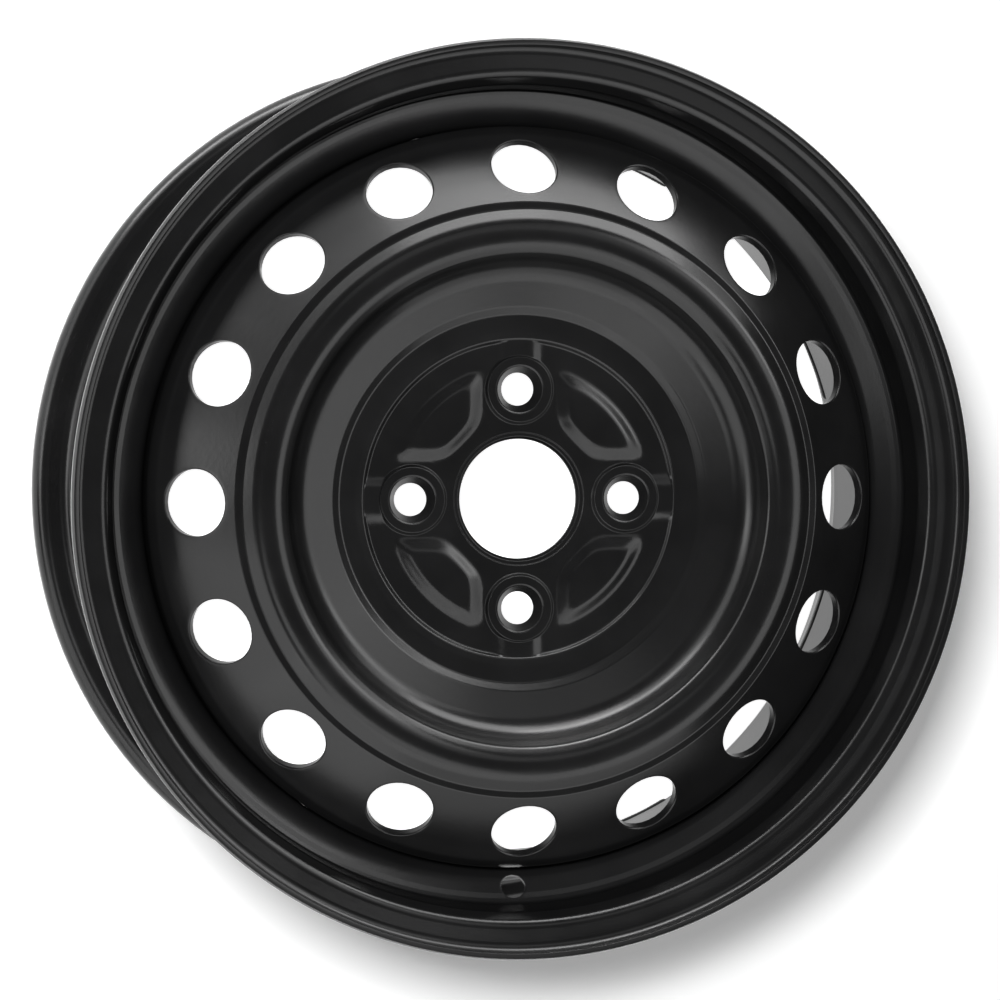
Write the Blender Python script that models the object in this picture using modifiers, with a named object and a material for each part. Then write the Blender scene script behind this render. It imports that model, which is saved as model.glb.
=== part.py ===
"""Pressed steel road wheel, 15 x 5.5 J, four bolts on 100 mm.

The wheel lies on its inboard flange with the outboard face up. Z is the wheel's axis, the origin
is the wheel's centre, the bolt holes are on X and Y and the valve hole is at -Y. Metres, degrees.
"""

import math

import bmesh
import bpy
from mathutils import Matrix, Vector

# Rim ring: a rolled sheet with the standard J flange on both sides
RIM_WIDTH = 0.1397
BEAD_SEAT_DIAMETER = 0.3802
RIM_SHEET = 0.0025
FLANGE_HEIGHT = 0.0175
FLANGE_CURL_RADIUS = 0.0095
FLANGE_TOP_LENGTH = 0.0003
FLANGE_LIP_LENGTH = 0.0030
FLANGE_LIP_DROP = 18.0
HEEL_RADIUS = 0.0065
BEAD_SEAT_TAPER = 5.0
HUMP_DISTANCE = 0.0220
HUMP_HALF_WIDTH = 0.0035
HUMP_HEIGHT = 0.0012
WELL_DEPTH = 0.0176
WELL_OUTBOARD_Z = 0.0365
WELL_INBOARD_Z = -0.0080
WELL_INBOARD_RAMP = 0.0170
WELL_CORNER_RADIUS = 0.0070
LEDGE_DROP = 0.0014
VALVE_HOLE_DIAMETER = 0.0113
VALVE_ANGLE = -90.0

# Disc: a deep pressed sheet that fits inside the rim's well
DISC_SHEET = 0.0040
HUB_OFFSET = 0.0500
CENTRE_BORE_DIAMETER = 0.0541
BORE_EDGE_RADIUS = 0.0028
PAD_RADIUS = 0.0715
PAD_STEP_WIDTH = 0.0015
PAD_STEP_HEIGHT = 0.0022
RING_WIDTH = 0.0110
RING_STEP_WIDTH = 0.0030
RING_STEP_HEIGHT = 0.0026
DISH_WIDTH = 0.0170
DISH_RISE = 0.0048
DISH_FILLET = 0.0120
WALL_WIDTH = 0.0095
CROWN_HEIGHT = 0.0270
CROWN_WIDTH = 0.0175
CROWN_INNER_FILLET = 0.0085
CROWN_OUTER_FILLET = 0.0042
GROOVE_WIDTH = 0.0023
GROOVE_DEPTH = 0.0038
VENT_SLOPE = 35.5
SKIRT_FILLET = 0.0140
SKIRT_END_Z = 0.0120
SKIRT_GAP = 0.0003

# Openings through the disc
BOLT_COUNT = 4
BOLT_CIRCLE_DIAMETER = 0.1000
BOLT_HOLE_DIAMETER = 0.0150
NUT_SEAT_DIAMETER = 0.0210
NUT_SEAT_ANGLE = 60.0
VENT_COUNT = 16
VENT_DIAMETER = 0.0300
VENT_DISTANCE = 0.0205

# Raised boss round each bolt hole, with a tab out to the edge of the hub pad
BOSS_DIAMETER = 0.0320
BOSS_HEIGHT = 0.0022
BOSS_DRAFT = 0.0010
TAB_WIDTH = 0.0232
TAB_RAMP = 0.0065

# Raised platform between each two bosses, hollow behind
PLATFORM_HEIGHT = 0.0026
PLATFORM_RAMP = 0.0078
PLATFORM_SIDE = 0.0166
PLATFORM_INNER_CHORD = 0.0352
PLATFORM_OUTER_RADIUS = 0.0650
PLATFORM_CORNER = 0.0030

# Weld beads that join the skirt to the rim, on the inboard side
WELD_COUNT = 8
WELD_LENGTH = 0.0420
WELD_RADIUS = 0.0022
WELD_GAP = 0.0003

# How finely round stretches are cut
TURN_STEPS = 56
RIM_ARC_STEP = 43.0
DISC_ARC_STEP = 28.0
OUTLINE_ARC_STEP = 60.0
SMALLEST_FILLET = 0.0005
SMALLEST_TURN = 0.5
FILLET_SHARE = 0.98
HOLE_STEPS = 20
BOSS_STEPS = 20
WELD_STEPS = 5
CUT_MARGIN = 0.0060
SINK = 0.0010
MERGE_DISTANCE = 0.00001

SEAT_RADIUS = BEAD_SEAT_DIAMETER / 2
FLANGE_RADIUS = SEAT_RADIUS + FLANGE_HEIGHT
WELL_RADIUS = SEAT_RADIUS - WELL_DEPTH
SKIRT_RADIUS = WELL_RADIUS - RIM_SHEET - SKIRT_GAP
RING_INNER_RADIUS = PAD_RADIUS + PAD_STEP_WIDTH
RING_OUTER_RADIUS = RING_INNER_RADIUS + RING_WIDTH
DISH_INNER_RADIUS = RING_OUTER_RADIUS + RING_STEP_WIDTH
DISH_OUTER_RADIUS = DISH_INNER_RADIUS + DISH_WIDTH
CROWN_INNER_RADIUS = DISH_OUTER_RADIUS + WALL_WIDTH
CROWN_OUTER_RADIUS = CROWN_INNER_RADIUS + CROWN_WIDTH
PAD_Z = HUB_OFFSET + DISC_SHEET
RING_Z = PAD_Z + PAD_STEP_HEIGHT
CROWN_Z = PAD_Z + CROWN_HEIGHT
BOLT_RADIUS = BOLT_CIRCLE_DIAMETER / 2


def polar(radius, degrees):
    """Vector of a given length at a given angle."""
    return Vector((radius * math.cos(math.radians(degrees)), radius * math.sin(math.radians(degrees))))


def corner_turn(before, corner, after):
    """Signed turn of a line at a corner, in radians, positive to the left."""
    heading_in = corner - before
    heading_out = after - corner
    return math.atan2(heading_in.cross(heading_out), heading_in.dot(heading_out))


def corner_arc(before, corner, after, radius, arc_step):
    """Points of the fillet of a corner, which ends at the latest where its stretches end."""
    turn = corner_turn(before, corner, after)
    if radius < SMALLEST_FILLET or abs(turn) < math.radians(SMALLEST_TURN):
        return [corner.copy()]
    tangent = radius * math.tan(abs(turn) / 2)
    tangent = min(tangent, FILLET_SHARE * (corner - before).length, FILLET_SHARE * (after - corner).length)
    fitted_radius = tangent / math.tan(abs(turn) / 2)
    heading = (corner - before).normalized()
    start = corner - heading * tangent
    side = math.copysign(1, turn)
    centre = start + Vector((-heading.y, heading.x)) * side * fitted_radius
    steps = max(1, round(math.degrees(abs(turn)) / arc_step))
    arm = start - centre
    points = []
    for index in range(steps + 1):
        angle = turn * index / steps
        points.append(centre + Matrix.Rotation(angle, 2) @ arm)
    return points


def reach(corner, radius, neighbour, neighbour_radius):
    """Where a fillet has to end: half way to a neighbour that has a fillet too."""
    if neighbour_radius < SMALLEST_FILLET:
        return neighbour
    return corner.lerp(neighbour, radius / (radius + neighbour_radius))


def rounded_line(corners, radii, arc_step):
    """Open line with a fillet at each inner corner."""
    points = [corners[0].copy()]
    for index in range(1, len(corners) - 1):
        corner = corners[index]
        before = reach(corner, radii[index], corners[index - 1], radii[index - 1])
        after = reach(corner, radii[index], corners[index + 1], radii[index + 1])
        points += corner_arc(before, corner, after, radii[index], arc_step)
    points.append(corners[-1].copy())
    return points


def rounded_loop(corners, radius, arc_step):
    """Closed line with the same fillet at every corner."""
    points = []
    for index, corner in enumerate(corners):
        before = corner.lerp(corners[index - 1], 0.5)
        after = corner.lerp(corners[(index + 1) % len(corners)], 0.5)
        points += corner_arc(before, corner, after, radius, arc_step)
    return points


def parallel_line(corners, distance):
    """Open line moved to its right by a distance, with its stretches kept parallel."""
    normals = []
    for start, end in zip(corners, corners[1:]):
        heading = (end - start).normalized()
        normals.append(Vector((heading.y, -heading.x)))
    moved = [corners[0] + normals[0] * distance]
    for corner, left, right in zip(corners[1:], normals, normals[1:]):
        moved.append(corner + (left + right) * (distance / (1 + left.dot(right))))
    moved.append(corners[-1] + normals[-1] * distance)
    return moved


def sheet_outline(corners, radii, thickness, arc_step, edge_radius=0.0):
    """Closed section of a bent sheet, from the line of the face on its left.

    Both faces of a bend share one centre, so its radius on the other face is larger by the
    thickness where the line turns left, and smaller where it turns right.
    """
    back = parallel_line(corners, thickness)
    back_radii = list(radii)
    for index in range(1, len(corners) - 1):
        turn = corner_turn(corners[index - 1], corners[index], corners[index + 1])
        if radii[index] > 0:
            back_radii[index] = max(radii[index] + math.copysign(thickness, turn), 0.0)
    face = rounded_line(corners, radii, arc_step)
    first_edge = corner_arc(back[0], corners[0], corners[1], edge_radius, arc_step)
    return first_edge + face[1:] + rounded_line(back, back_radii, arc_step)[::-1]


def collection_named(name):
    """New collection under the scene."""
    collection = bpy.data.collections.new(name)
    bpy.context.scene.collection.children.link(collection)
    return collection


def paint(name, colour, roughness, metallic):
    """Principled material of one flat colour."""
    material = bpy.data.materials.new(name)
    material.use_nodes = True
    shader = material.node_tree.nodes["Principled BSDF"]
    shader.inputs["Base Color"].default_value = (*colour, 1.0)
    shader.inputs["Roughness"].default_value = roughness
    shader.inputs["Metallic"].default_value = metallic
    material.diffuse_color = (*colour, 1.0)
    return material


def mesh_object(name, bm, collection):
    """Object with the mesh of a bmesh."""
    mesh = bpy.data.meshes.new(name)
    bm.to_mesh(mesh)
    bm.free()
    made = bpy.data.objects.new(name, mesh)
    collection.objects.link(made)
    return made


def turned(name, outline, steps, collection, closed=True):
    """Profile in the XZ plane, turned about Z by a Screw modifier."""
    bm = bmesh.new()
    ring = [bm.verts.new((point.x, 0.0, point.y)) for point in outline]
    for start, end in zip(ring, ring[1:]):
        bm.edges.new((start, end))
    if closed:
        bm.edges.new((ring[-1], ring[0]))
    made = mesh_object(name, bm, collection)
    screw = made.modifiers.new("Turn", "SCREW")
    screw.axis = "Z"
    screw.angle = math.tau
    screw.steps = steps
    screw.render_steps = steps
    screw.use_merge_vertices = True
    screw.merge_threshold = MERGE_DISTANCE
    screw.use_smooth_shade = True
    return made


def add_frustum(bm, low_outline, high_outline, low_z, high_z):
    """Closed solid between two like outlines at two heights."""
    loops = []
    for outline, height in ((low_outline, low_z), (high_outline, high_z)):
        corners = [bm.verts.new((point.x, point.y, height)) for point in outline]
        loops.append(bm.faces.new(corners))
    loops[0].normal_flip()
    edges = list(loops[0].edges) + list(loops[1].edges)
    bmesh.ops.bridge_loops(bm, edges=edges)
    bmesh.ops.recalc_face_normals(bm, faces=bm.faces)


def hide_cutter(cutter):
    """Mark an object as a tool that is not part of the wheel."""
    cutter.hide_render = True
    cutter.display_type = "WIRE"


def apply_boolean(target, tool, operation):
    """Boolean modifier with the exact solver."""
    boolean = target.modifiers.new(tool.name, "BOOLEAN")
    boolean.operation = operation
    boolean.solver = "EXACT"
    boolean.object = tool
    hide_cutter(tool)


def flange_side():
    """Tyre side from the outboard lip to the foot of the hump, as (radius, z) corners with fillets."""
    half_width = RIM_WIDTH / 2
    taper = math.tan(math.radians(BEAD_SEAT_TAPER))
    top = Vector((FLANGE_RADIUS, half_width + FLANGE_CURL_RADIUS + FLANGE_TOP_LENGTH))
    lip = top + polar(FLANGE_LIP_LENGTH, 90.0 + FLANGE_LIP_DROP)
    hump_z = half_width - HUMP_DISTANCE
    foot_near = SEAT_RADIUS - (HUMP_DISTANCE - HUMP_HALF_WIDTH) * taper
    foot_far = SEAT_RADIUS - (HUMP_DISTANCE + HUMP_HALF_WIDTH) * taper
    crest = SEAT_RADIUS - HUMP_DISTANCE * taper + HUMP_HEIGHT
    return [
        (lip, 0.0),
        (top, 0.0),
        (Vector((FLANGE_RADIUS, half_width)), FLANGE_CURL_RADIUS),
        (Vector((SEAT_RADIUS, half_width)), HEEL_RADIUS),
        (Vector((foot_near, hump_z + HUMP_HALF_WIDTH)), 0.0),
        (Vector((crest, hump_z)), 0.0),
        (Vector((foot_far, hump_z - HUMP_HALF_WIDTH)), 0.0),
    ]


def rim_line():
    """Tyre side of the rim from the outboard lip to the inboard lip, and its fillets."""
    outboard = flange_side()
    inboard = [(Vector((corner.x, -corner.y)), radius) for corner, radius in reversed(outboard)]
    ledge_radius = inboard[0][0].x - LEDGE_DROP
    well = [
        (Vector((WELL_RADIUS, WELL_OUTBOARD_Z)), WELL_CORNER_RADIUS),
        (Vector((WELL_RADIUS, WELL_INBOARD_Z)), WELL_CORNER_RADIUS),
        (Vector((ledge_radius, WELL_INBOARD_Z - WELL_INBOARD_RAMP)), WELL_CORNER_RADIUS),
    ]
    line = outboard + well + inboard
    return [corner for corner, _ in line], [radius for _, radius in line]


def square_drill(name, start, end, share, diameter, depth, cutters):
    """Round drill square to a stretch of a section in the XZ plane, at a share of its length.

    It is turned half a facet, so that none of its corners falls on a seam of the turned sheet.
    """
    heading = (end - start).normalized()
    place = start.lerp(end, share)
    normal = Vector((-heading.y, 0.0, heading.x))
    turn = normal.to_track_quat("Z", "Y").to_matrix().to_4x4()
    half_facet = Matrix.Rotation(math.pi / HOLE_STEPS, 4, "Z")
    matrix = Matrix.Translation((place.x, 0.0, place.y)) @ turn @ half_facet
    bm = bmesh.new()
    bmesh.ops.create_cone(
        bm, cap_ends=True, segments=HOLE_STEPS, radius1=diameter / 2, radius2=diameter / 2,
        depth=2 * depth, matrix=matrix)
    return mesh_object(name, bm, cutters)


def make_valve_cutter(cutters):
    """Drill through the middle of the slope between the outboard hump and the well."""
    foot, _ = flange_side()[-1]
    well = Vector((WELL_RADIUS, WELL_OUTBOARD_Z))
    cutter = square_drill(
        "valve_cutter", foot, well, 0.5, VALVE_HOLE_DIAMETER, RIM_SHEET + CUT_MARGIN, cutters)
    cutter.rotation_euler.z = math.radians(VALVE_ANGLE)
    return cutter


def make_rim(parts, cutters, material):
    """Rolled rim ring with two flanges, two humps, a well and the valve hole."""
    corners, radii = rim_line()
    outline = sheet_outline(corners, radii, RIM_SHEET, RIM_ARC_STEP)
    rim = turned("rim", outline, TURN_STEPS, parts)
    apply_boolean(rim, make_valve_cutter(cutters), "DIFFERENCE")
    rim.data.materials.append(material)
    return rim


def vent_line():
    """Start of the slope that carries the vents, and its end at the skirt's radius."""
    start = Vector((CROWN_OUTER_RADIUS + GROOVE_WIDTH, CROWN_Z - GROOVE_DEPTH))
    fall = (SKIRT_RADIUS - start.x) * math.tan(math.radians(VENT_SLOPE))
    return start, Vector((SKIRT_RADIUS, start.y - fall))


def disc_line():
    """Outboard face of the disc from the centre bore to the end of the skirt."""
    slope_start, slope_end = vent_line()
    ring_top = RING_Z + RING_STEP_HEIGHT
    line = [
        (Vector((CENTRE_BORE_DIAMETER / 2, PAD_Z)), 0.0),
        (Vector((PAD_RADIUS, PAD_Z)), 0.0),
        (Vector((RING_INNER_RADIUS, RING_Z)), 0.0),
        (Vector((RING_OUTER_RADIUS, RING_Z)), 0.0),
        (Vector((DISH_INNER_RADIUS, ring_top)), 0.0),
        (Vector((DISH_OUTER_RADIUS, ring_top + DISH_RISE)), DISH_FILLET),
        (Vector((CROWN_INNER_RADIUS, CROWN_Z)), CROWN_INNER_FILLET),
        (Vector((CROWN_OUTER_RADIUS, CROWN_Z)), CROWN_OUTER_FILLET),
        (slope_start, 0.0),
        (slope_end, SKIRT_FILLET),
        (Vector((SKIRT_RADIUS, SKIRT_END_Z)), 0.0),
    ]
    return [corner for corner, _ in line], [radius for _, radius in line]


def make_bosses(cutters):
    """Boss and tab round each bolt hole, in one tool for the disc."""
    bm = bmesh.new()
    step = 360.0 / BOSS_STEPS
    sunk_radius = BOSS_DIAMETER / 2 + BOSS_DRAFT * SINK / BOSS_HEIGHT
    top_radius = BOSS_DIAMETER / 2 - BOSS_DRAFT
    centre = Vector((BOLT_RADIUS, 0.0))
    low = [centre + polar(sunk_radius, step * index) for index in range(BOSS_STEPS)]
    high = [centre + polar(top_radius, step * index) for index in range(BOSS_STEPS)]
    add_frustum(bm, low, high, PAD_Z - SINK, PAD_Z + BOSS_HEIGHT)
    boss = mesh_object("boss_tool", bm, cutters)

    bm = bmesh.new()
    end = RING_INNER_RADIUS + PAD_STEP_WIDTH
    low_half = TAB_WIDTH / 2 + TAB_RAMP * SINK / BOSS_HEIGHT
    high_half = TAB_WIDTH / 2 - TAB_RAMP
    outlines = []
    for half in (low_half, high_half):
        corners = ((BOLT_RADIUS, -half), (end, -half), (end, half), (BOLT_RADIUS, half))
        outlines.append([Vector(corner) for corner in corners])
    add_frustum(bm, outlines[0], outlines[1], PAD_Z - SINK, PAD_Z + BOSS_HEIGHT)
    tab = mesh_object("tab_tool", bm, cutters)
    return boss, tab


def platform_outline(inset):
    """Outline of the platform that follows the bolt hole on +X, smaller by an inset."""
    pitch = 360.0 / BOLT_COUNT
    side = PLATFORM_SIDE + inset
    chord = PLATFORM_INNER_CHORD + inset
    outer = PLATFORM_OUTER_RADIUS - inset
    middle = polar(1.0, pitch / 2)
    corners = []
    for ray_angle, hand in ((0.0, 1), (pitch, -1)):
        along = polar(1.0, ray_angle)
        across = polar(1.0, ray_angle + 90.0 * hand)
        near = (chord - side * across.dot(middle)) / along.dot(middle)
        far = math.sqrt(outer ** 2 - side ** 2)
        corners.append((across * side + along * near, across * side + along * far))
    first, last = corners
    bow = polar(outer, pitch / 2)
    ring = [first[0], first[1], bow, last[1], last[0]]
    return rounded_loop(ring, PLATFORM_CORNER, OUTLINE_ARC_STEP)


def make_platforms(cutters):
    """Raised platforms for the front, and the hollows behind them, as tools for the disc."""
    tools = []
    for name, base in (("platform_tool", PAD_Z), ("platform_hollow_tool", HUB_OFFSET)):
        grow = PLATFORM_RAMP * SINK / PLATFORM_HEIGHT
        bm = bmesh.new()
        add_frustum(
            bm, platform_outline(-grow), platform_outline(PLATFORM_RAMP),
            base - SINK, base + PLATFORM_HEIGHT)
        tools.append(mesh_object(name, bm, cutters))
    return tools


def around(tool, count, cutters):
    """Tool and its copies, evenly spaced about Z."""
    copies = [tool]
    for index in range(1, count):
        copy = tool.copy()
        copy.name = f"{tool.name}_{index + 1}"
        copy.rotation_euler.z = math.tau * index / count
        cutters.objects.link(copy)
        copies.append(copy)
    return copies


def make_bolt_cutter(cutters):
    """Bolt hole with its conical nut seat, on +X."""
    hole = BOLT_HOLE_DIAMETER / 2
    mouth = NUT_SEAT_DIAMETER / 2
    spread = math.tan(math.radians(NUT_SEAT_ANGLE / 2))
    seat_top = PAD_Z + BOSS_HEIGHT
    seat_bottom = seat_top - (mouth - hole) / spread
    top = seat_top + CUT_MARGIN
    profile = [
        Vector((0.0, top)),
        Vector((mouth + CUT_MARGIN * spread, top)),
        Vector((hole, seat_bottom)),
        Vector((hole, HUB_OFFSET - CUT_MARGIN)),
        Vector((0.0, HUB_OFFSET - CUT_MARGIN)),
    ]
    cutter = turned("bolt_cutter", profile, HOLE_STEPS, cutters, closed=False)
    bpy.context.view_layer.update()
    evaluated = cutter.evaluated_get(bpy.context.evaluated_depsgraph_get())
    mesh = bpy.data.meshes.new_from_object(evaluated)
    mesh.transform(Matrix.Translation((BOLT_RADIUS, 0.0, 0.0)))
    cutter.modifiers.clear()
    cutter.data = mesh
    return cutter


def make_vent_cutter(cutters):
    """Drill through the vent slope, on +X."""
    start, end = vent_line()
    share = VENT_DISTANCE / (end - start).length
    return square_drill(
        "vent_cutter", start, end, share, VENT_DIAMETER, DISC_SHEET + CUT_MARGIN, cutters)


def make_disc(parts, cutters, material):
    """Pressed disc with its hub pad, crown, vents and skirt."""
    corners, radii = disc_line()
    outline = sheet_outline(corners, radii, DISC_SHEET, DISC_ARC_STEP, BORE_EDGE_RADIUS)
    disc = turned("wheel_disc", outline, TURN_STEPS, parts)
    boss, tab = make_bosses(cutters)
    platform, hollow = make_platforms(cutters)
    for tool in (boss, tab, platform):
        for copy in around(tool, BOLT_COUNT, cutters):
            apply_boolean(disc, copy, "UNION")
    for tool in (hollow, make_bolt_cutter(cutters)):
        for copy in around(tool, BOLT_COUNT, cutters):
            apply_boolean(disc, copy, "DIFFERENCE")
    for copy in around(make_vent_cutter(cutters), VENT_COUNT, cutters):
        apply_boolean(disc, copy, "DIFFERENCE")
    disc.data.materials.append(material)
    return disc


def make_welds(parts, material):
    """Short fillet welds in the corner between the skirt's end and the rim."""
    offset = WELD_RADIUS + WELD_GAP
    radius = WELL_RADIUS - RIM_SHEET - offset
    height = SKIRT_END_Z - offset
    span = WELD_LENGTH / radius
    for number in range(WELD_COUNT):
        curve = bpy.data.curves.new(f"weld_bead_{number + 1}", "CURVE")
        curve.dimensions = "3D"
        curve.bevel_depth = WELD_RADIUS
        curve.bevel_resolution = 1
        curve.use_fill_caps = True
        spline = curve.splines.new("POLY")
        spline.points.add(WELD_STEPS)
        middle = math.tau * (number + 0.5) / WELD_COUNT
        for index, point in enumerate(spline.points):
            angle = middle + span * (index / WELD_STEPS - 0.5)
            point.co = (radius * math.cos(angle), radius * math.sin(angle), height, 1.0)
        bead = bpy.data.objects.new(curve.name, curve)
        bead.data.materials.append(material)
        parts.objects.link(bead)


def smooth(made, degrees):
    """Round faces shaded smooth, edges sharper than the angle kept sharp."""
    made.data.shade_smooth()
    made.data.set_sharp_from_angle(angle=math.radians(degrees))


def main():
    for old in list(bpy.data.objects):
        bpy.data.objects.remove(old, do_unlink=True)
    parts = collection_named("steel_wheel_rim")
    cutters = collection_named("steel_wheel_rim_cutters")
    rim_paint = paint("rim_paint", (0.012, 0.012, 0.013), 0.35, 0.0)
    disc_paint = paint("disc_paint", (0.012, 0.012, 0.013), 0.35, 0.0)
    weld_paint = paint("weld_paint", (0.014, 0.014, 0.014), 0.5, 0.0)
    smooth(make_rim(parts, cutters, rim_paint), 35.0)
    smooth(make_disc(parts, cutters, disc_paint), 35.0)
    make_welds(parts, weld_paint)


main()
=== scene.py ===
"""Pressed steel road wheel in satin black paint, lying on a pale floor.

The wheel's own sizes are in millimetres here, and its meshes are made in metres.
"""

import math

import bmesh
import bpy
import numpy as np
from mathutils import Matrix, Vector


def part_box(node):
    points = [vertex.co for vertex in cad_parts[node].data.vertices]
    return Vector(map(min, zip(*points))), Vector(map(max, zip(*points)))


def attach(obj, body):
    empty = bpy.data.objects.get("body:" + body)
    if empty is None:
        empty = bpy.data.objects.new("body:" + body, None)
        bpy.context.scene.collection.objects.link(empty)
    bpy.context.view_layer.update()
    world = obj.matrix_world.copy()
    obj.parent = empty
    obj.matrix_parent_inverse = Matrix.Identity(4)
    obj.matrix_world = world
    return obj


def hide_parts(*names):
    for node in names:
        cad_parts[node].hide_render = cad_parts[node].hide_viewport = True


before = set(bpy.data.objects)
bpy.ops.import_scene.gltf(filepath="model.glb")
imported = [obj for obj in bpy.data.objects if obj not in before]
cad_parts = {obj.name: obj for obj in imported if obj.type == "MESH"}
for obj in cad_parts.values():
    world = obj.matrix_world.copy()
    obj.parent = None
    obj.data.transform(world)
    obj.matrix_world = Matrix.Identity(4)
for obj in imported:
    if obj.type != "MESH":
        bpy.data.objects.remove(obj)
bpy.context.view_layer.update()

MM = 0.001

# Grid: steps round the axis, and degrees between the rows of a fillet, in view and out of sight
STEPS = 256
ARC_STEP = 5.5
HIDDEN_STEP = 9.0
SMALL_ARC_STEP = 20

# Fillets: the share of a stretch that they may fill, and the smallest radius on a sheet's back
FILLET_SHARE = 0.98
SMALLEST_FILLET = 0.5

# Rim ring
RIM_SHEET = 2.5
HALF_WIDTH = 69.85
SEAT_R = 190.1
SEAT_TAPER = math.tan(math.radians(5.0))
HEEL_FILLET = 6.5
FLANGE_R = 207.6
FLANGE_FILLET = 7.5
FLANGE_CURL = 9.5
FLANGE_TOP_Z = HALF_WIDTH + FLANGE_CURL + 0.3
LIP_LENGTH = 2.4
LIP_DROP = math.radians(18)
LIP_FILLET = 1.5
LIP_BULGE = 0.6
HUMP_DISTANCE = 22.0
HUMP_HALF = 3.5
HUMP_H = 1.2
HUMP_FILLET = 3.0
LEDGE_DROP = 1.4
LEDGE_Z = -25.0
WELL_R = 172.5
WELL_OUTBOARD_Z = 36.5
WELL_INBOARD_Z = -8.0
WELL_FILLET = 7.0
INNER_ROLL_R = FLANGE_R - 2.3
INNER_FLANGE_Z = HALF_WIDTH + 2.1

# Each kind of hole has a patch of the grid: its reach along the section, its rows, half of its steps
# round the axis, and the number of even rings that lead in to the hole.

# Valve hole, in the slope that runs from the outboard hump down to the well. The slope starts at
# these corners of the tyre side and of the inner side, and gets rows from, to and as many as given.
OUTER_SLOPE = 6
INNER_SLOPE = 9
OUTER_ROWS = (1.7, 12.2, 9)
INNER_ROWS = (0.6, 6.9, 7)
NEAR_SLOPE = 5.0
VALVE_R = 5.65
VALVE_EDGE = 0.35
VALVE_PATCH = 7.2
VALVE_HALF_STEPS = 3
VALVE_RINGS = 8

# Disc, from its bore to its skirt
DISC_SHEET = 4.0
HUB_Z = 50.0
PAD_Z = HUB_Z + DISC_SHEET
PAD_R = 71.4
BORE_R = 27.3
BORE_EDGE = 3.3
BORE_BACK_EDGE = 0.4
BORE_ARC_STEP = 18
CROWN_Z = 81.0
SLOPE_R = 134.6
SLOPE_Z = CROWN_Z - 4.7
SLOPE_ANGLE = math.radians(35.5)
SKIRT_R = 169.95
SKIRT_END = 12.0
SKIRT_BULGE = 0.5

# Vents in the disc's slope, which starts at this corner of the disc
SLOPE_START = 12
VENT_COUNT = 16
VENT_R = 15.0
VENT_FRONT_EDGE = 0.7
VENT_BACK_EDGE = 0.35
VENT_DISTANCE = 20.2
VENT_PATCH = 17.0
VENT_ROWS = 16
VENT_HALF_STEPS = 7
VENT_RINGS = 3

# Bolt holes in the hub pad, which starts at this corner of the disc, each with a conical nut seat
PAD_START = 0
BOLT_COUNT = 4
BOLT_CIRCLE_R = 50.0
BOLT_R = 7.5
BOLT_BACK_EDGE = 0.4
NUT_SEAT_R = 10.5
NUT_SEAT_SINK = 0.5
NUT_SEAT_HALF_ANGLE = math.radians(30)
BOLT_PATCH = (31.0, 69.0)
BOLT_ROWS = 32
BOLT_HALF_STEPS = 16
BOLT_RINGS = 5

# Hub relief: bosses round the bolt holes, tabs that run out from them, and platforms between them
RELIEF_R = 80.0
HOLLOW_R = 72.0
BOSS_FOOT_R = 16.3
BOSS_RAMP = 1.6
BOSS_H = 2.2
BOSS_RING_RADII = [17.4, 16.6, 16.3, 16.1, 15.85, 15.6, 15.35, 15.1, 14.9, 14.7, 14.4, 13.2, 12.4, 12.0]
BACK_RING_RADII = [17.0, 12.0, BOLT_R + BOLT_BACK_EDGE]
TAB_HALF = 11.2
TAB_RAMP = 5.6
TAB_H = 1.3
PLATFORM_H = 2.6
PLATFORM_RAMP = 7.9
PLATFORM_BLEND = 2.0
PLATFORM_SIDE = 16.2
PLATFORM_CHORD = 35.8
PLATFORM_R = 62.6
PLATFORM_STEEP = 1.25

# Welds
WELD_COUNT = 8
WELD_LENGTH = 42.0
WELD_R = 2.2
WELD_GAP = 0.3
WELD_END = 2.6
WELD_RIPPLE = 1.7
WELD_SWELL = 3.1
WELD_STEPS = 150
WELD_SIDES = 20

# Paint
BLACK = (0.007, 0.007, 0.0072)
WELD_BLACK = (0.008, 0.008, 0.008)
DUST_GREY = (0.12, 0.12, 0.12, 1)
PEEL_DEPTH = 0.00004

# Floor, in metres. Under the wheel, out to the edge of the round, it glows pure white: painted light where
# the wheel's shade falls. Further out this much is added to what the light gives it.
FLOOR_HALF = 3.0
FLOOR_GAP = 0.0002
FLOOR_GREY = (0.82, 0.82, 0.82, 1)
FLOOR_ADDS = 0.31
PAINTED_LIGHT_ROUND_EDGE = (0.204, 0.206)

# Camera at the photograph's angle, with distances in metres
TILT = math.radians(13.13)
TOWARDS = math.radians(170.2)
AWAY = 1.843
LENS = 141.26
SENSOR = 36.0
SHIFT = (0.0075, -0.0056)
CLIP = (0.05, 20.0)

# Light: azimuth, elevation, width and height, in degrees, of the key and of each reflector card,
# whose brightness comes last
STUDIO_R = 2.2
KEY_POWER = 54.0
KEY = (151, 70.4, 27, 8)
SKY = 0.06
WIDEST_PANEL = 40
CARDS = {
    "low_top": (105, 14, 150, 28, 5.2),
    "low_right": (75, 14, 60, 28, 10.6),
    "low_bottom": (285, 14, 60, 28, 3.0),
    "edge_top": (105, 7, 60, 14, 27.5),
    "side_left": (225, 21, 60, 42, 4.7),
    "edge_left": (180, 21, 30, 14, 6.5),
    "mid_bottom": (330, 35, 150, 14, 4.75),
    "mid_right": (30, 35, 30, 14, 9.1),
    "high_bottom": (288, 49, 108, 14, 5.4),
    "high_right": (18, 49, 72, 14, 5.4),
    "over_bottom": (247.5, 63, 90, 14, 4.8),
    "over_right": (67.5, 63, 90, 14, 1.6),
}


def v2(x, y):
    """Point or direction in the wheel's half section: radius and height."""
    return np.array((x, y), float)


def unit(vector):
    """Direction of a vector."""
    return vector / np.linalg.norm(vector)


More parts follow.
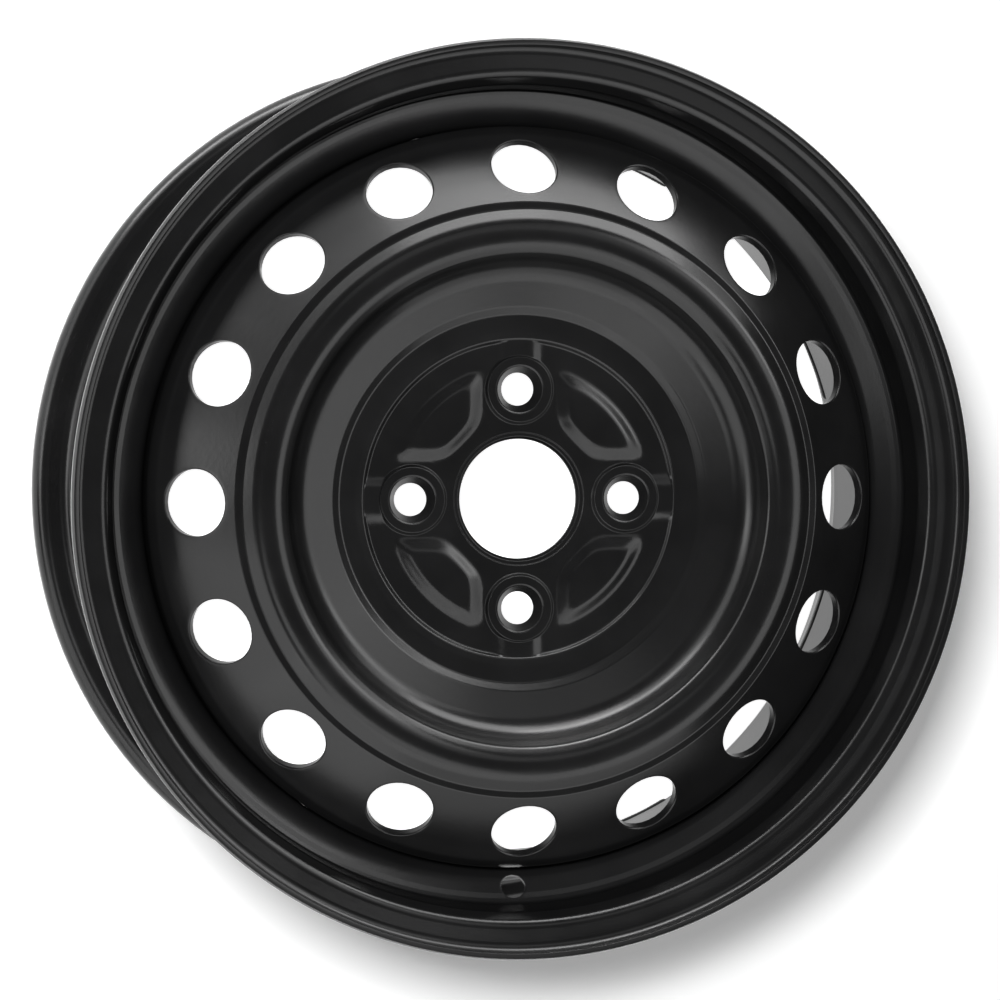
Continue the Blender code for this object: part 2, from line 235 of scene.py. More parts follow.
def turn_at(before, corner, after):
    """Signed turn of a line at a corner, in radians, positive to the left."""
    a, b = corner - before, after - corner
    return math.atan2(a[0] * b[1] - a[1] * b[0], a @ b)


def fillet(before, corner, after, tangent, steps):
    """Points of a corner's fillet, which starts and ends at a distance from the corner."""
    turn = turn_at(before, corner, after)
    heading = unit(corner - before)
    start = corner - heading * tangent
    radius = tangent / math.tan(abs(turn) / 2)
    centre = start + np.array((-heading[1], heading[0])) * math.copysign(radius, turn)
    arm = start - centre
    points = []
    for k in range(steps + 1):
        c, s = math.cos(turn * k / steps), math.sin(turn * k / steps)
        points.append(centre + np.array((c * arm[0] - s * arm[1], s * arm[0] + c * arm[1])))
    return points


def rounded(corners, radii, step):
    """Open line with a fillet at each inner corner, and the row at which each corner starts.

    Where two fillets don't fit on the stretch between them, both are made smaller.
    """
    last = len(corners) - 1
    turns = [0.0] + [turn_at(*corners[i - 1:i + 2]) for i in range(1, last)] + [0.0]
    wanted = [radius * math.tan(abs(turn) / 2) for radius, turn in zip(radii, turns)]
    room = [1.0] * (last + 1)
    for i in range(last):
        length = np.linalg.norm(corners[i + 1] - corners[i])
        share = min(1.0, FILLET_SHARE * length / max(wanted[i] + wanted[i + 1], 1e-9))
        room[i], room[i + 1] = min(room[i], share), min(room[i + 1], share)
    points, starts = [corners[0]], [0]
    for i in range(1, last):
        starts.append(len(points))
        steps = max(2, math.ceil(abs(math.degrees(turns[i])) / step - 0.01))
        points += fillet(*corners[i - 1:i + 2], wanted[i] * room[i], steps)
    starts.append(len(points))
    points.append(corners[-1])
    return points, starts


def offset(corners, distance):
    """Line moved to its right by a distance."""
    normals = []
    for a, b in zip(corners, corners[1:]):
        heading = unit(b - a)
        normals.append(np.array((heading[1], -heading[0])))
    moved = [corners[0] + normals[0] * distance]
    for p, m, n in zip(corners[1:], normals, normals[1:]):
        moved.append(p + (m + n) * distance / (1 + m @ n))
    moved.append(corners[-1] + normals[-1] * distance)
    return moved


def back_radii(corners, radii, thickness):
    """Fillets of a sheet's other face, which share their centres with those of the first."""
    made = list(radii)
    for i in range(1, len(corners) - 1):
        turn = turn_at(corners[i - 1], corners[i], corners[i + 1])
        made[i] = max(radii[i] + math.copysign(thickness, turn), SMALLEST_FILLET)
    return made


def split(points, row, start, end, count):
    """Line with evenly spaced rows put into the straight stretch that follows a row."""
    a, b = points[row], points[row + 1]
    length = np.linalg.norm(b - a)
    rows = [a + (b - a) * (start + (end - start) * k / count) / length for k in range(count + 1)]
    return points[:row + 1] + rows + points[row + 1:], row + 1


def face_rows(corners, radii, step, splits):
    """Rows of one face of a bent sheet, with a fillet's rows a given number of degrees apart.

    Each split puts evenly spaced rows into the stretch that follows a corner, between two
    distances from an origin. The first row of each is returned too, under its corner.
    """
    points, starts = rounded(corners, radii, step)
    made = {}
    for corner, origin, start, end, count in sorted(splits, key=lambda s: -s[0]):
        row = starts[corner + 1] - 1
        foot = points[row]
        shift = (origin - foot) @ unit(points[row + 1] - foot)
        points, first = split(points, row, shift + start, shift + end, count)
        made = {later: at + count + 1 for later, at in made.items()}
        made[corner] = first
    return points, made


class Shell:
    """Vertices and faces of one mesh, in millimetres."""

    def __init__(self):
        self.verts = []
        self.faces = []

    def add(self, points):
        """Adds vertices and returns their numbers."""
        first = len(self.verts)
        self.verts.extend(map(tuple, points))
        return list(range(first, len(self.verts)))

    def bridge(self, low, high):
        """Quads between two closed loops of the same length."""
        n = len(low)
        for k in range(n):
            m = (k + 1) % n
            self.faces.append((low[k], high[k], high[m], low[m]))

    def grow(self, loop, points):
        """Adds a loop, joins it to the one before and returns it."""
        made = self.add(points)
        self.bridge(loop, made)
        return made

    def revolve(self, loop, section):
        """Goes on from a loop with a ring round the axis for each point of a section."""
        angle = np.arange(STEPS) * math.tau / STEPS
        for r, z in section:
            ring = np.stack((r * np.cos(angle), r * np.sin(angle), np.full(STEPS, z)), axis=-1)
            loop = self.grow(loop, ring)
        return loop

    def object(self, name):
        """Makes the mesh, with smooth shading that keeps flat faces flat."""
        mesh = bpy.data.meshes.new(name)
        mesh.from_pydata([(x * MM, y * MM, z * MM) for x, y, z in self.verts], [], self.faces)
        bm = bmesh.new()
        bm.from_mesh(mesh)
        bmesh.ops.recalc_face_normals(bm, faces=bm.faces)
        bm.to_mesh(mesh)
        bm.free()
        mesh.shade_smooth()
        made = bpy.data.objects.new(name, mesh)
        bpy.context.scene.collection.objects.link(made)
        normals = made.modifiers.new("Normals", "WEIGHTED_NORMAL")
        normals.mode = "FACE_AREA"
        normals.weight = 60
        return made


class Face:
    """One face of a turned sheet: a grid of rows along its section and steps round the axis."""

    def __init__(self, rows, relief=None):
        self.rows = np.array(rows)
        self.relief = relief
        self.index = {}

    def point(self, row, step):
        """Points of the face at rows and steps that needn't be whole numbers."""
        row, step = np.asarray(row, float), np.asarray(step, float)
        low = np.clip(np.floor(row).astype(int), 0, len(self.rows) - 2)
        part = (row - low)[..., None]
        r, z = np.moveaxis(self.rows[low] * (1 - part) + self.rows[low + 1] * part, -1, 0)
        angle = step * math.tau / STEPS
        x, y = r * np.cos(angle), r * np.sin(angle)
        if self.relief:
            z = self.relief(x, y, r, z)
        return np.stack((x, y, z), axis=-1)

    def build(self, shell, boxes):
        """Adds the grid to a shell, with a gap for each hole's box of rows and steps."""
        inside, cut = set(), set()
        for i0, i1, j0, j1 in boxes:
            for j in range(j0, j1):
                for i in range(i0, i1):
                    cut.add((i, j % STEPS))
                    if i > i0 and j > j0:
                        inside.add((i, j % STEPS))
        count = len(self.rows)
        for i in range(count):
            points = self.point(np.full(STEPS, i), np.arange(STEPS))
            for j in range(STEPS):
                if (i, j) not in inside:
                    self.index[i, j] = shell.add([points[j]])[0]
        for i in range(count - 1):
            for j in range(STEPS):
                if (i, j) not in cut:
                    k = (j + 1) % STEPS
                    shell.faces.append((
                        self.index[i, j], self.index[i + 1, j], self.index[i + 1, k], self.index[i, k]))

    def loop(self, row):
        """Vertices of a row, counted from the last one where it is negative."""
        return [self.index[row % len(self.rows), j] for j in range(STEPS)]

    def middle_of(self, box, radius):
        """Row and step in the middle of a box, at a given radius."""
        i0, i1, j0, j1 = box
        row = i0 + float(np.interp(radius, self.rows[i0:i1 + 1, 0], np.arange(i1 - i0 + 1)))
        return row, (j0 + j1) / 2

    def holed(self, shell, box, centre, place, axis, radii, rings):
        """Fills a box of the grid round a hole with rings that close in on it.

        The outer rings are spread evenly, and the others lie at given distances from the axis.
        """
        i0, i1, j0, j1 = box
        edge = [(i0, j) for j in range(j0, j1)] + [(i, j1) for i in range(i0, i1)]
        edge += [(i1, j) for j in range(j1, j0, -1)] + [(i, j0) for i in range(i1, i0, -1)]
        loop = [self.index[i, j % STEPS] for i, j in edge]
        spread = np.array(edge, float) - np.array(centre)

        def at(share):
            return self.point(centre[0] + share * spread[:, 0], centre[1] + share * spread[:, 1])

        def share_for(radius):
            low, high = np.zeros(len(edge)), np.ones(len(edge))
            for _ in range(30):
                middle = (low + high) / 2
                away = at(middle) - place
                away = away - np.outer(away @ axis, axis)
                outside = np.linalg.norm(away, axis=1) > radius
                high = np.where(outside, middle, high)
                low = np.where(outside, low, middle)
            return (low + high) / 2

        first = share_for(radii[0])
        shares = [1 + (first - 1) * k / rings for k in range(1, rings)]
        shares += [first] + [share_for(radius) for radius in radii[1:]]
        for share in shares:
            points = at(share)
            loop = shell.grow(loop, points)
        return loop, points


def boxes_round(first, rows, count, half_steps):
    """Boxes of rows and steps for holes that are spaced evenly about the axis."""
    pitch = STEPS // count
    return [(first, first + rows, k * pitch - half_steps, k * pitch + half_steps) for k in range(count)]


def spokes(points, place, axis):
    """Unit vectors from an axis to the points of a ring, and their heights along it."""
    away = points - place
    height = away @ axis
    away = away - np.outer(height, axis)
    return away / np.linalg.norm(away, axis=1)[:, None], height


def turned_edge(shell, front, back, row, bulge):
    """Cut end of a sheet, closed with a softened edge, at the first or the last row."""
    a, b = front.rows[row], back.rows[row]
    out = unit(a - front.rows[1 if row == 0 else row - 1])
    half = (b - a) / 2
    middle = (a + b) / 2
    section = []
    for angle in (150, 120, 60, 30):
        c, s = math.cos(math.radians(angle)), math.sin(math.radians(angle))
        flat = math.copysign(abs(c) ** 0.45, c)
        section.append(middle + half * flat + out * bulge * (abs(s) ** 0.6))
    shell.bridge(shell.revolve(front.loop(row), section), back.loop(row))


def punch(shell, faces, boxes, centres, place, axis, radius, edges, rings):
    """Round hole through a sheet's front and back faces, with softened edges.

    The axis points out of the front face.
    """
    ends = []
    for face, box, centre, edge, hand in zip(faces, boxes, centres, edges, (-1, 1)):
        loop, points = face.holed(
            shell, box, centre, place, axis, [radius + 2.2 * edge + 0.35, radius + edge], rings)
        spoke, height = spokes(points, place, axis)
        for angle in (22.5, 45, 67.5, 90):
            s, c = math.sin(math.radians(angle)), math.cos(math.radians(angle))
            reach = radius + edge - edge * s
            ring = place + spoke * reach + np.outer(height + hand * edge * (1 - c), axis)
            loop = shell.grow(loop, ring)
        ends.append(loop)
    shell.bridge(*ends)


def ramp(x, soft=0.3):
    """Rise from 0 to 1 with both ends rounded off."""
    x = np.clip(x, 0, 1)
    slope = 1 / (1 - soft)
    low = slope * x * x / (2 * soft)
    high = 1 - slope * (1 - x) ** 2 / (2 * soft)
    return np.where(x < soft, low, np.where(x > 1 - soft, high, slope * (x - soft / 2)))


def soft_min(values, width):
    """Smallest of several distances, rounded where two are alike."""
    stack = -np.stack(values) / width
    top = stack.max(axis=0)
    return -width * (top + np.log(np.exp(stack - top).sum(axis=0)))


def in_quarter(x, y):
    """The same point turned into the quarter whose middle is +X."""
    angle = np.arctan2(y, x)
    turned = angle - np.round(angle / (math.pi / 2)) * (math.pi / 2)
    r = np.hypot(x, y)
    return r * np.cos(turned), r * np.sin(turned)


def platform(x, y):
    """Height of the pressed platforms between the bolt holes, as a share."""
    px, py = in_quarter(x, y)
    sides = (
        np.abs(py) - PLATFORM_SIDE,
        px - PLATFORM_SIDE,
        PLATFORM_STEEP * ((px + np.abs(py)) / math.sqrt(2) - PLATFORM_CHORD),
        PLATFORM_STEEP * (PLATFORM_R - np.hypot(px, py)),
    )
    return ramp(soft_min(sides, PLATFORM_BLEND) / PLATFORM_RAMP, 0.25)


def hub_front(x, y, r, z):
    """Height of the outboard face over the hub pad, with platforms, bosses and tabs."""
    px, py = in_quarter(x, y)
    from_bolt = np.hypot(px - BOLT_CIRCLE_R, py)
    boss = ramp((BOSS_FOOT_R - from_bolt) / BOSS_RAMP, 0.35)
    tab = ramp((TAB_HALF - np.abs(py)) / TAB_RAMP, 0.25) * (px > BOLT_CIRCLE_R)
    rise = np.maximum(PLATFORM_H * platform(x, y), np.maximum(BOSS_H * boss, TAB_H * tab))
    return np.where(r < RELIEF_R, np.maximum(z, PAD_Z + rise), z)


def hub_back(x, y, r, z):
    """Height of the inboard face over the hub pad, with the platforms' hollows."""
    return z + np.where(r < HOLLOW_R, PLATFORM_H * platform(x, y), 0)


def mirrored(line):
    """The same corners and fillets on the other side of the wheel, in the opposite order."""
    return [(p * (1, -1), radius) for p, radius in reversed(line)]


def apart(line):
    """Corners and fillets of a line as two lists."""
    return [p for p, _ in line], [radius for _, radius in line]


def rim_line():
    """Corners of the rim's tyre side from the outboard to the inboard lip, with fillets."""
    top = v2(FLANGE_R, FLANGE_TOP_Z)
    lip = LIP_LENGTH * np.array((-math.sin(LIP_DROP), math.cos(LIP_DROP)))
    hump_z = HALF_WIDTH - HUMP_DISTANCE
    hump_end_r = SEAT_R - (HUMP_DISTANCE + HUMP_HALF) * SEAT_TAPER
    side = [
        (top + lip, 0),
        (top, LIP_FILLET),
        (v2(FLANGE_R, HALF_WIDTH), FLANGE_FILLET),
        (v2(SEAT_R, HALF_WIDTH), HEEL_FILLET),
        (v2(SEAT_R - (HUMP_DISTANCE - HUMP_HALF) * SEAT_TAPER, hump_z + HUMP_HALF), HUMP_FILLET),
        (v2(SEAT_R - HUMP_DISTANCE * SEAT_TAPER + HUMP_H, hump_z), HUMP_FILLET),
        (v2(hump_end_r, hump_z - HUMP_HALF), HUMP_FILLET),
    ]
    well = [
        (v2(WELL_R, WELL_OUTBOARD_Z), WELL_FILLET),
        (v2(WELL_R, WELL_INBOARD_Z), WELL_FILLET),
        (v2(hump_end_r - LEDGE_DROP, LEDGE_Z), WELL_FILLET),
    ]
    return apart(side + well + mirrored(side))


def rim_inside(corners, radii):
    """Corners and fillets of the rim's inner side, whose bends are crisper than the sheet's own."""
    back = offset(corners, RIM_SHEET)
    flange = [
        (back[0], 0),
        (v2(INNER_ROLL_R, back[1][1]), 1.2),
        (v2(INNER_ROLL_R, INNER_FLANGE_Z), 4.4),
        (v2(200.6, INNER_FLANGE_Z), 2.0),
    ]
    heel = [(v2(191.9, HALF_WIDTH + 2.6), 5.0), (v2(187.7, HALF_WIDTH - 4.8), 6.0)]
    seat = [(v2(186.4, 52.0), 4.0)]
    hump = [(v2(187.0, 46.4), 2.5), (v2(184.3, 44.9), 1.5), (v2(182.0, 44.0), 1.5)]
    well_and_inboard_seat = list(zip(back, back_radii(corners, radii, RIM_SHEET)))[7:-4]
    inboard_heel = [(v2(SEAT_R - 1.7, -HALF_WIDTH - 2.4), 8.0)]
    outboard = flange + heel + seat + hump
    return apart(outboard + well_and_inboard_seat + inboard_heel + mirrored(flange))


def make_rim():
    """Rolled steel ring with its flanges, bead seats, humps, well and valve hole."""
    corners, radii = rim_line()
    inside, inside_radii = rim_inside(corners, radii)
    foot, well = corners[OUTER_SLOPE], corners[OUTER_SLOPE + 1]
    slope = unit(well - foot)
    outward = v2(-slope[1], slope[0])
    middle = foot + slope * (np.linalg.norm(well - foot) / 2)
    outer_split = (OUTER_SLOPE, foot, *OUTER_ROWS)
    inner_split = (INNER_SLOPE, inside[INNER_SLOPE], *INNER_ROWS)
    front = Face(face_rows(corners, radii, HIDDEN_STEP, [outer_split])[0])
    back = Face(face_rows(inside, inside_radii, ARC_STEP, [inner_split])[0])

    column = STEPS * 3 // 4
    columns = (column - VALVE_HALF_STEPS, column + VALVE_HALF_STEPS)
    boxes, centres = [], []
    for face in (front, back):
        near = face.rows - middle
        along = np.where(np.abs(near @ outward) < NEAR_SLOPE, near @ slope, np.inf)
        within = np.flatnonzero(np.abs(along) < VALVE_PATCH)
        boxes.append([int(within[0]) - 1, int(within[-1]) + 1, *columns])
        centres.append((float(np.interp(0.0, along[within], within)), column))
    rows = max(box[1] - box[0] for box in boxes)
    for box in boxes:
        box[1] = box[0] + rows

    shell = Shell()
    front.build(shell, [boxes[0]])
    back.build(shell, [boxes[1]])
    turned_edge(shell, front, back, 0, LIP_BULGE)
    turned_edge(shell, front, back, -1, LIP_BULGE)
    place = np.array((0, -middle[0], middle[1]))
    axis = np.array((0, -outward[0], outward[1]))
    punch(shell, (front, back), boxes, centres, place, axis, VALVE_R, (VALVE_EDGE, VALVE_EDGE), VALVE_RINGS)
    return shell.object("rim_ring")


def disc_line():
    """Corners of the disc's outboard face from the bore to the skirt's end, with fillets."""
    pad = [(v2(BORE_R, PAD_Z), 0), (v2(PAD_R, PAD_Z), 1.3)]
    ring = [(v2(72.9, 55.8), 1.7), (v2(76.5, 56.2), 8.0), (v2(84.0, 56.6), 2.5), (v2(87.6, 58.9), 4.0)]
    dish = [(v2(106.6, 64.7), 16.5), (v2(111.2, 77.6), 4.0)]
    crown = [(v2(116.4, CROWN_Z), 11.0), (v2(122.8, CROWN_Z), 16.0), (v2(126.4, CROWN_Z - 1.1), 10.0)]
    slope_end_z = SLOPE_Z - (SKIRT_R - SLOPE_R) * math.tan(SLOPE_ANGLE)
    slope = [(v2(131.4, SLOPE_Z), 1.6), (v2(SLOPE_R, SLOPE_Z), 1.3), (v2(SKIRT_R, slope_end_z), 11.0)]
    skirt = [(v2(SKIRT_R, SKIRT_END + SKIRT_BULGE), 0)]
    return apart(pad + ring + dish + crown + slope + skirt)


def line_bore(shell, front, back):
    """Wall of the centre bore, with a small step inside its outboard edge."""
    section, _ = rounded(
        [front.rows[0], v2(BORE_R + BORE_EDGE, PAD_Z), v2(BORE_R + 2.9, PAD_Z - 0.5),
         v2(BORE_R + 1.3, PAD_Z - 0.6), v2(BORE_R, PAD_Z - 2.2), v2(BORE_R, HUB_Z), back.rows[0]],
        [0, 0.3, 0.3, 0.6, 0.9, 0.35, 0], BORE_ARC_STEP)
    shell.bridge(shell.revolve(front.loop(0), section[1:-1]), back.loop(0))


def bolt_hole(shell, front, back, boxes, angle):
    """Hole through a boss, with a conical seat for the nut. Close rings keep the boss's edge crisp."""
    top = PAD_Z + BOSS_H
    seat_top = top - NUT_SEAT_SINK
    seat_end = seat_top - (NUT_SEAT_R - BOLT_R) / math.tan(NUT_SEAT_HALF_ANGLE)
    profile, _ = rounded(
        [v2(BOSS_RING_RADII[-1], top), v2(11.3, top), v2(NUT_SEAT_R, seat_top), v2(BOLT_R, seat_end),
         v2(BOLT_R, HUB_Z), v2(BOLT_R + BOLT_BACK_EDGE, HUB_Z)],
        [0, 0.4, 0.5, 0.3, 0.2, 0], SMALL_ARC_STEP)
    place = np.array((BOLT_CIRCLE_R * math.cos(angle), BOLT_CIRCLE_R * math.sin(angle), 0))
    up = np.array((0, 0, 1.0))
    loop, points = front.holed(
        shell, boxes[0], front.middle_of(boxes[0], BOLT_CIRCLE_R), place, up,
        BOSS_RING_RADII, BOLT_RINGS)
    spoke, _ = spokes(points, place, up)
    for reach, z in profile[1:-1]:
        loop = shell.grow(loop, place + spoke * reach + up * z)
    other, _ = back.holed(
        shell, boxes[1], back.middle_of(boxes[1], BOLT_CIRCLE_R), place, up,
        BACK_RING_RADII, BOLT_RINGS)
    shell.bridge(loop, other)


def make_disc():
    """Pressed steel disc with its hub pad, dish, crown, vents and skirt."""
    corners, radii = disc_line()
    slope_start, slope_end = corners[SLOPE_START], corners[SLOPE_START + 1]
    splits = [
        (PAD_START, v2(0, PAD_Z), *BOLT_PATCH, BOLT_ROWS),
        (SLOPE_START, slope_start, VENT_DISTANCE - VENT_PATCH, VENT_DISTANCE + VENT_PATCH, VENT_ROWS)]
    front_rows, front_made = face_rows(corners, radii, ARC_STEP, splits)
    back_rows, back_made = face_rows(
        offset(corners, DISC_SHEET), back_radii(corners, radii, DISC_SHEET), HIDDEN_STEP, splits)
    front_rows[0] = v2(BORE_R + BORE_EDGE + 0.3, PAD_Z)
    back_rows[0] = v2(BORE_R + BORE_BACK_EDGE, HUB_Z)
    front, back = Face(front_rows, hub_front), Face(back_rows, hub_back)

    starts = (front_made, back_made)
    bolts = [boxes_round(made[PAD_START], BOLT_ROWS, BOLT_COUNT, BOLT_HALF_STEPS) for made in starts]
    vents = [boxes_round(made[SLOPE_START], VENT_ROWS, VENT_COUNT, VENT_HALF_STEPS) for made in starts]
    shell = Shell()
    front.build(shell, bolts[0] + vents[0])
    back.build(shell, bolts[1] + vents[1])
    turned_edge(shell, front, back, -1, SKIRT_BULGE)
    line_bore(shell, front, back)
    for k, boxes in enumerate(zip(*bolts)):
        bolt_hole(shell, front, back, boxes, k * math.tau / BOLT_COUNT)

    slope = unit(slope_end - slope_start)
    outward = v2(-slope[1], slope[0])
    middle = slope_start + slope * VENT_DISTANCE
    for k, boxes in enumerate(zip(*vents)):
        c, s = math.cos(k * math.tau / VENT_COUNT), math.sin(k * math.tau / VENT_COUNT)
        place = np.array((middle[0] * c, middle[0] * s, middle[1]))
        axis = np.array((outward[0] * c, outward[0] * s, outward[1]))
        centres = []
        for face, box in zip((front, back), boxes):
            foot = middle + outward * ((face.rows[box[0]] - middle) @ outward)
            centres.append(face.middle_of(box, foot[0]))
        punch(
            shell, (front, back), boxes, centres, place, axis, VENT_R,
            (VENT_FRONT_EDGE, VENT_BACK_EDGE), VENT_RINGS)
    return shell.object("disc_pressing")


def make_weld(number):
    """Short weld bead with the ripples that a moving arc leaves."""
    inset = WELD_R + WELD_GAP
    radius = WELL_R - RIM_SHEET - inset
    height = SKIRT_END - inset
    middle = math.tau * (number + 0.5) / WELD_COUNT
    ripple_start, swell_start = np.random.default_rng(number).uniform(0, math.tau, 2)
    shell = Shell()
    loops = []
    for i in range(WELD_STEPS + 1):
        t = i / WELD_STEPS
        along = (t - 0.5) * WELD_LENGTH
        end = min(t, 1 - t) * WELD_LENGTH
        size = math.sqrt(max(0.0, 1 - max(0.0, 1 - end / WELD_END) ** 2)) * 0.98 + 0.02
        ripple = 0.93 + 0.05 * abs(math.sin(math.pi * along / WELD_RIPPLE + ripple_start))
        ripple += 0.02 * math.sin(along / WELD_SWELL + swell_start)
        angle = middle + along / radius
        bead_r = WELD_R * size * ripple
        ring = []
        for k in range(WELD_SIDES):
            a = math.tau * k / WELD_SIDES
            r = radius + bead_r * math.cos(a)
            ring.append((r * math.cos(angle), r * math.sin(angle), height + bead_r * math.sin(a)))
        loops.append(shell.grow(loops[-1], ring) if loops else shell.add(ring))
    shell.faces.append(tuple(loops[0]))
    shell.faces.append(tuple(loops[-1]))
    return shell.object(f"weld_bead_{number + 1}_rippled")


def node(tree, kind, **inputs):
    """New shader node, with its settings and its sockets' constants given by name."""
    made = tree.nodes.new(kind)
    for name, value in inputs.items():
        if hasattr(made, name):
            setattr(made, name, value)
        else:
            made.inputs[name.replace("_", " ")].default_value = value
    return made


def satin_paint(name, colour, roughness, peel, dust):
    """Satin paint over steel: fine orange peel, uneven gloss and a little dust."""
    material = bpy.data.materials.new(name)
    material.use_nodes = True
    tree = material.node_tree
    shader = tree.nodes["Principled BSDF"]
    shader.inputs["Metallic"].default_value = 0.0
    shader.inputs["IOR"].default_value = 1.5
    place = node(tree, "ShaderNodeTexCoord")

    cloud = node(tree, "ShaderNodeTexNoise", Scale=22.0, Detail=5.0, Roughness=0.6)
    fine = node(tree, "ShaderNodeTexNoise", Scale=420.0, Detail=3.0, Roughness=0.5)
    specks = node(tree, "ShaderNodeTexNoise", Scale=1500.0, Detail=1.0, Roughness=0.5)
    for texture in (cloud, fine, specks):
        tree.links.new(place.outputs["Object"], texture.inputs["Vector"])

    gloss = node(
        tree, "ShaderNodeMapRange",
        From_Min=0.3, From_Max=0.7, To_Min=roughness - 0.03, To_Max=roughness + 0.04)
    tree.links.new(cloud.outputs["Fac"], gloss.inputs["Value"])
    tree.links.new(gloss.outputs["Result"], shader.inputs["Roughness"])

    tint = node(tree, "ShaderNodeValToRGB")
    for stop, position, shade in zip(tint.color_ramp.elements, (0.35, 0.75), (0.85, 1.2)):
        stop.position = position
        stop.color = (*[c * shade for c in colour], 1)
    tree.links.new(cloud.outputs["Fac"], tint.inputs["Fac"])

    spots = node(tree, "ShaderNodeMapRange", From_Min=0.70, From_Max=0.78, To_Min=0.0, To_Max=dust)
    tree.links.new(specks.outputs["Fac"], spots.inputs["Value"])
    mix = node(tree, "ShaderNodeMix", data_type="RGBA")
    tree.links.new(spots.outputs["Result"], mix.inputs["Factor"])
    tree.links.new(tint.outputs["Color"], mix.inputs[6])
    mix.inputs[7].default_value = DUST_GREY
    tree.links.new(mix.outputs[2], shader.inputs["Base Color"])

    bump = node(tree, "ShaderNodeBump", Strength=peel, Distance=PEEL_DEPTH)
    tree.links.new(fine.outputs["Fac"], bump.inputs["Height"])
    tree.links.new(bump.outputs["Normal"], shader.inputs["Normal"])
    return material


def floor_material():
    """Pale floor that the camera sees as white, with a round of painted light under the wheel that glows
    white where its shade falls.
    """
    material = bpy.data.materials.new("pale_floor")
    material.use_nodes = True
    tree = material.node_tree
    shader = tree.nodes["Principled BSDF"]
    shader.inputs["Base Color"].default_value = FLOOR_GREY
    shader.inputs["Roughness"].default_value = 0.9
    shader.inputs["Specular IOR Level"].default_value = 0.0
    output = tree.nodes["Material Output"]
    path = node(tree, "ShaderNodeLightPath")
    seen = node(tree, "ShaderNodeMath", operation="MAXIMUM")
    tree.links.new(path.outputs["Is Camera Ray"], seen.inputs[0])
    tree.links.new(path.outputs["Is Glossy Ray"], seen.inputs[1])
    seen_also = node(tree, "ShaderNodeMath", operation="MAXIMUM")
    tree.links.new(seen.outputs[0], seen_also.inputs[0])
    tree.links.new(path.outputs["Is Transmission Ray"], seen_also.inputs[1])
    place = node(tree, "ShaderNodeTexCoord")
    length = node(tree, "ShaderNodeVectorMath", operation="LENGTH")
    tree.links.new(place.outputs["Object"], length.inputs[0])
    # Painted light: inside the round under the wheel the floor glows pure white, where the wheel's shade
    # falls.
    under = node(
        tree, "ShaderNodeMapRange",
        From_Min=PAINTED_LIGHT_ROUND_EDGE[0], From_Max=PAINTED_LIGHT_ROUND_EDGE[1], To_Min=1.0, To_Max=FLOOR_ADDS)
    tree.links.new(length.outputs["Value"], under.inputs["Value"])
    strength = node(tree, "ShaderNodeMath", operation="MULTIPLY")
    tree.links.new(under.outputs["Result"], strength.inputs[0])
    tree.links.new(seen_also.outputs[0], strength.inputs[1])
    glow = node(tree, "ShaderNodeEmission")
    tree.links.new(strength.outputs[0], glow.inputs["Strength"])
    add = node(tree, "ShaderNodeAddShader")
    tree.links.new(shader.outputs[0], add.inputs[0])
    tree.links.new(glow.outputs[0], add.inputs[1])
    tree.links.new(add.outputs[0], output.inputs["Surface"])
    return material


def dress(piece, material, replaced):
    """Paints a piece and lets it stand for a node of the frame."""
    piece.data.materials.append(material)
    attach(piece, "root")
    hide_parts(replaced)


def lay_floor():
    """Square of floor just under the wheel."""
    mesh = bpy.data.meshes.new("floor")
    corners = [(x * FLOOR_HALF, y * FLOOR_HALF, 0) for x, y in ((-1, -1), (1, -1), (1, 1), (-1, 1))]
    mesh.from_pydata(corners, [], [(0, 1, 2, 3)])
    mesh.materials.append(floor_material())
    floor = bpy.data.objects.new("floor", mesh)
    floor.location.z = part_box("rim")[0].z - FLOOR_GAP
    bpy.context.scene.collection.objects.link(floor)


def place_camera():
    """Camera that looks down on the wheel, a little off its axis."""
    back_of_view = Vector((
        math.sin(TILT) * math.cos(TOWARDS), math.sin(TILT) * math.sin(TOWARDS), math.cos(TILT)))
    right_of_view = (-back_of_view).cross(Vector((0, 1, 0))).normalized()
    up_of_view = right_of_view.cross(-back_of_view)
    camera = bpy.data.objects.new("camera", bpy.data.cameras.new("camera"))
    camera.data.sensor_width = SENSOR
    camera.data.lens = LENS
    camera.data.shift_x, camera.data.shift_y = SHIFT
    camera.data.clip_start, camera.data.clip_end = CLIP
    turn = Matrix((right_of_view, up_of_view, back_of_view)).transposed().to_4x4()
    camera.matrix_world = Matrix.Translation(back_of_view * AWAY) @ turn
    bpy.context.scene.collection.objects.link(camera)
    bpy.context.scene.camera = camera


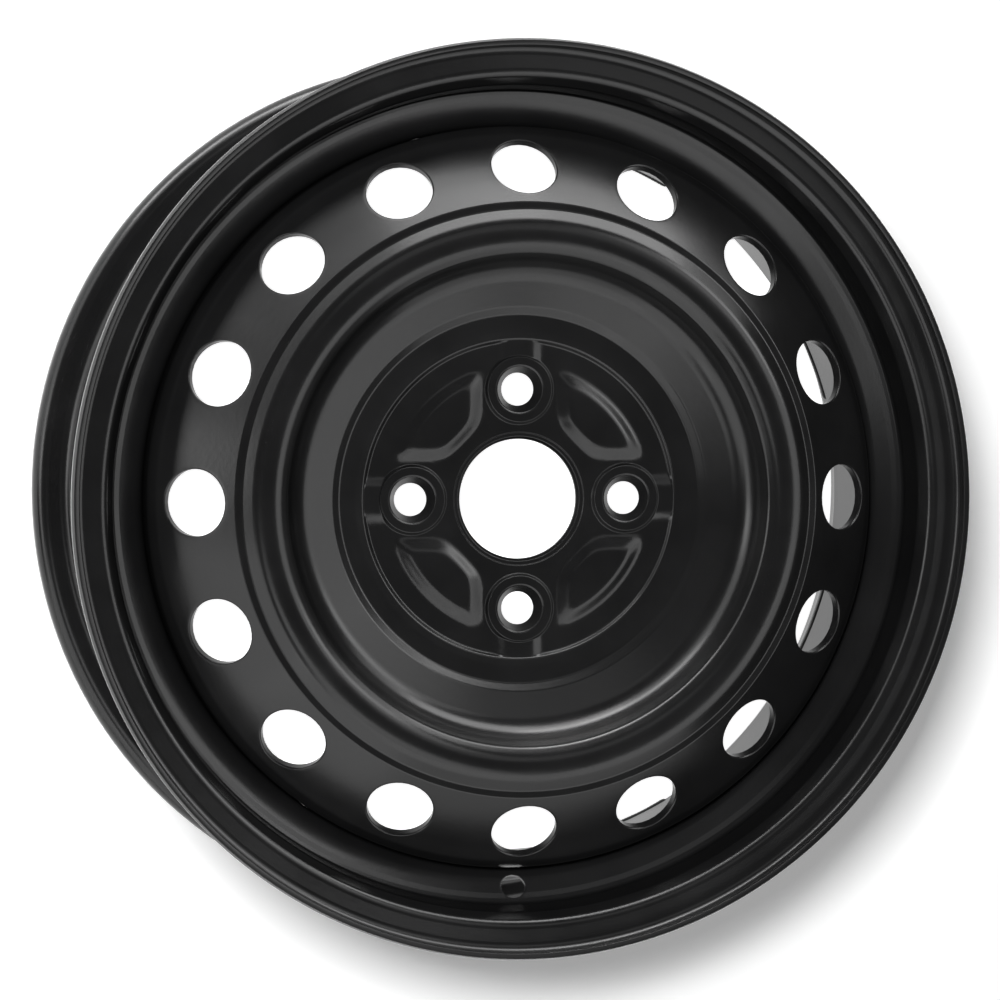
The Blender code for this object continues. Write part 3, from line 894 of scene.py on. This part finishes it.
def panel(name, azimuth, elevation, wide, high, brightness):
    """Area light that faces the wheel, given by the angles that it fills as seen from the wheel.

    Azimuth is from +X towards +Y, and brightness is in watts a square metre.
    """
    a, e = math.radians(azimuth), math.radians(elevation)
    way = Vector((math.cos(a) * math.cos(e), math.sin(a) * math.cos(e), math.sin(e)))
    light = bpy.data.lights.new(name, "AREA")
    light.shape = "RECTANGLE"
    light.size = 2 * STUDIO_R * math.tan(math.radians(wide / 2)) * math.cos(e)
    light.size_y = 2 * STUDIO_R * math.tan(math.radians(high / 2))
    light.energy = brightness * light.size * light.size_y
    made = bpy.data.objects.new(name, light)
    made.location = way * STUDIO_R
    made.rotation_mode = "QUATERNION"
    made.rotation_quaternion = way.to_track_quat("Z", "Y")
    bpy.context.scene.collection.objects.link(made)
    return made


def card(name, azimuth, elevation, wide, high, brightness):
    """Curved reflector card that the paint mirrors, made of flat panels on an arc."""
    count = math.ceil(wide / WIDEST_PANEL)
    for k in range(count):
        turn = azimuth + wide * ((k + 0.5) / count - 0.5)
        made = panel(f"{name}_{k + 1}", turn, elevation, wide / count, high, brightness)
        made.visible_diffuse = False


def light_studio():
    """Soft key that casts the shadow, cards for the reflections, and a sky that the camera sees white."""
    key = panel("key", *KEY, 1.0)
    key.visible_glossy = False
    key.data.energy = KEY_POWER
    for name, row in CARDS.items():
        card(name, *row)
    world = bpy.data.worlds.new("studio")
    world.use_nodes = True
    tree = world.node_tree
    background = tree.nodes["Background"]
    background.inputs["Color"].default_value = (1, 1, 1, 1)
    path = node(tree, "ShaderNodeLightPath")
    sky = node(tree, "ShaderNodeMapRange", To_Min=SKY, To_Max=1.0)
    tree.links.new(path.outputs["Is Camera Ray"], sky.inputs["Value"])
    tree.links.new(sky.outputs["Result"], background.inputs["Strength"])
    bpy.context.scene.world = world


rim_paint = satin_paint("satin_black_rim", BLACK, 0.22, 0.5, 0.05)
disc_paint = satin_paint("satin_black_disc", BLACK, 0.22, 0.5, 0.05)
weld_paint = satin_paint("satin_black_weld", WELD_BLACK, 0.4, 0.9, 0.05)
dress(make_rim(), rim_paint, "rim")
dress(make_disc(), disc_paint, "wheel_disc")
for number in range(WELD_COUNT):
    dress(make_weld(number), weld_paint, f"weld_bead_{number + 1}")
lay_floor()
place_camera()
light_studio()
bpy.context.scene.view_settings.view_transform = "Standard"
